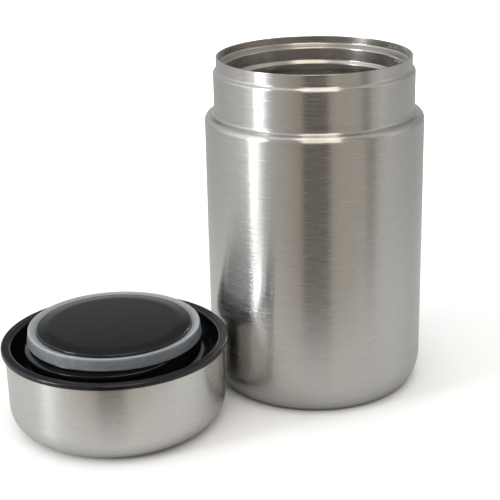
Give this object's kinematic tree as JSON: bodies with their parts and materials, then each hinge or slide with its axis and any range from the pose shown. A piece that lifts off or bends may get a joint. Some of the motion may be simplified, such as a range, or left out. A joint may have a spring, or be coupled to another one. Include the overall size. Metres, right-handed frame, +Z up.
{
  "type": "insulated food jar",
  "caption": "Double-walled steel vacuum food jar standing open, with its screw lid laid upside down beside it, showing the plug and its sealing ring.",
  "frame": {"origin": "where the jar's axis meets the surface that the jar and the upturned lid stand on", "axes": "+Z up along the jar's axis, from foot to mouth; the lid lies towards -X and -Y, and +X points away from it, to the right"},
  "size_m": [0.1825, 0.1386, 0.1482],
  "materials": {
    "brushed_steel": "satin",
    "vessel_steel": "satin",
    "hidden_steel": "satin",
    "black_liner": "gloss",
    "black_cap": "gloss",
    "silicone": "satin",
    "foam": "matte",
    "copper_foil": "satin",
    "solder_glass": "gloss",
    "getter_metal": "matte"
  },
  "bodies": {
    "jar": {"outer_shell": "brushed_steel", "inner_vessel": "vessel_steel", "inner_bottom": "vessel_steel", "vacuum_plate": "hidden_steel", "seal_bead": "solder_glass", "base_cover": "brushed_steel", "radiation_foil": "copper_foil", "getter": "getter_metal", "getter_clip": "hidden_steel"},
    "lid_carrier": {"lid_core": "foam"},
    "lid": {"lid_shell": "brushed_steel", "lid_liner": "black_liner", "plug_cap": "black_cap"},
    "gasket": {"lid_gasket": "silicone"}
  },
  "joints": [
    {"name": "lid_lift", "type": "slide", "parent": "jar", "child": "lid_carrier", "axis": [0, 0, 1], "range_m": [0, 0.2]},
    {"name": "lid_turn", "type": "hinge", "parent": "lid_carrier", "child": "lid", "pos_m": [-0.08682, -0.04291, 0.02], "axis": [0, 0, 1], "continuous": true},
    {"name": "gasket_pull", "type": "slide", "parent": "lid", "child": "gasket", "axis": [0, 0, 1], "range_m": [0, 0.02]}
  ]
}
